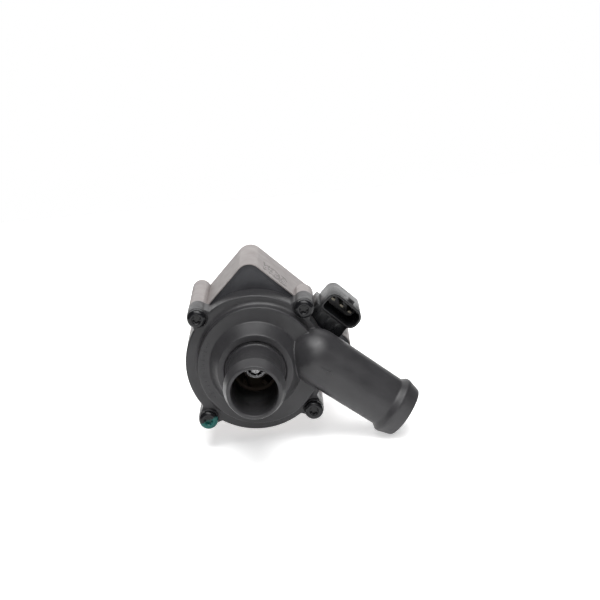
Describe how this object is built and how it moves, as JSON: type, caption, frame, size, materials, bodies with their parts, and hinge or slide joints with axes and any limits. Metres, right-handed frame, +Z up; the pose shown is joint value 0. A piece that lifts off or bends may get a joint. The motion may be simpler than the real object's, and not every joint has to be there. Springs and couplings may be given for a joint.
{
  "type": "electric auxiliary coolant pump",
  "caption": "Electric wet-rotor coolant pump: beaded axial inlet, beaded tangential outlet, screwed volute cover, aluminium motor housing and a side plug socket.",
  "frame": {"origin": "centre of the motor's flat rear face, on the shaft axis", "axes": "+Y along the shaft out of the rear of the motor, so the inlet faces -Y; +Z up through the upper square corner of the housing; +X towards the second square corner, on the connector and outlet side"},
  "size_m": [0.0887, 0.0894, 0.0699],
  "materials": {
    "head_plastic": "black glass-filled plastic, fine moulded grain",
    "plate_plastic": "black plastic, smooth matte",
    "connector_plastic": "black plastic, satin",
    "cast_aluminium": "machined and fine-blasted aluminium, matte, warm grey",
    "screw_black": "black zinc, glossy",
    "stainless": "ground stainless steel",
    "spring_steel": "bright spring steel",
    "seal_rubber": "black EPDM rubber",
    "winding_copper": "enamelled copper wire",
    "magnet_ferrite": "sintered ferrite, dark grey",
    "carbon": "carbon bearing, dull",
    "impeller_plastic": "black glass-filled plastic",
    "lamination_steel": "stacked electrical steel",
    "insulator_plastic": "natural nylon",
    "board_green": "green solder mask",
    "component_black": "black epoxy",
    "can_aluminium": "bright aluminium can",
    "thermal_rubber": "blue-grey silicone pad",
    "contact_tin": "tin-plated copper alloy",
    "separator_plastic": "dark grey high-temperature plastic"
  },
  "bodies": {
    "root": {"volute_cover": "head_plastic", "cover_screws": "screw_black", "cover_seal": "seal_rubber", "carrier_plate": "plate_plastic", "can_seal": "seal_rubber", "separation_can": "separator_plastic", "shaft": "stainless", "shaft_retainer": "spring_steel", "thrust_washer": "stainless", "stator_core": "lamination_steel", "stator_insulators": "insulator_plastic", "stator_coils": "winding_copper", "phase_leads": "winding_copper", "motor_housing": "cast_aluminium", "circuit_board": "board_green", "capacitors": "can_aluminium", "choke": "component_black", "power_transistors": "component_black", "control_chip": "component_black", "thermal_pad": "thermal_rubber", "rear_cover": "cast_aluminium", "rear_seal": "seal_rubber", "rear_screws": "screw_black", "connector_body": "connector_plastic", "connector_pins": "contact_tin"},
    "rotor": {"impeller": "impeller_plastic", "front_bush": "carbon", "rear_bush": "carbon", "rotor_sleeve": "impeller_plastic", "rotor_magnet": "magnet_ferrite", "rotor_jacket": "stainless"}
  },
  "joints": [
    {"name": "rotor_spin", "type": "hinge", "parent": "root", "child": "rotor", "pos_m": [0, -0.04, 0], "axis": [0, 1, 0], "continuous": true}
  ]
}
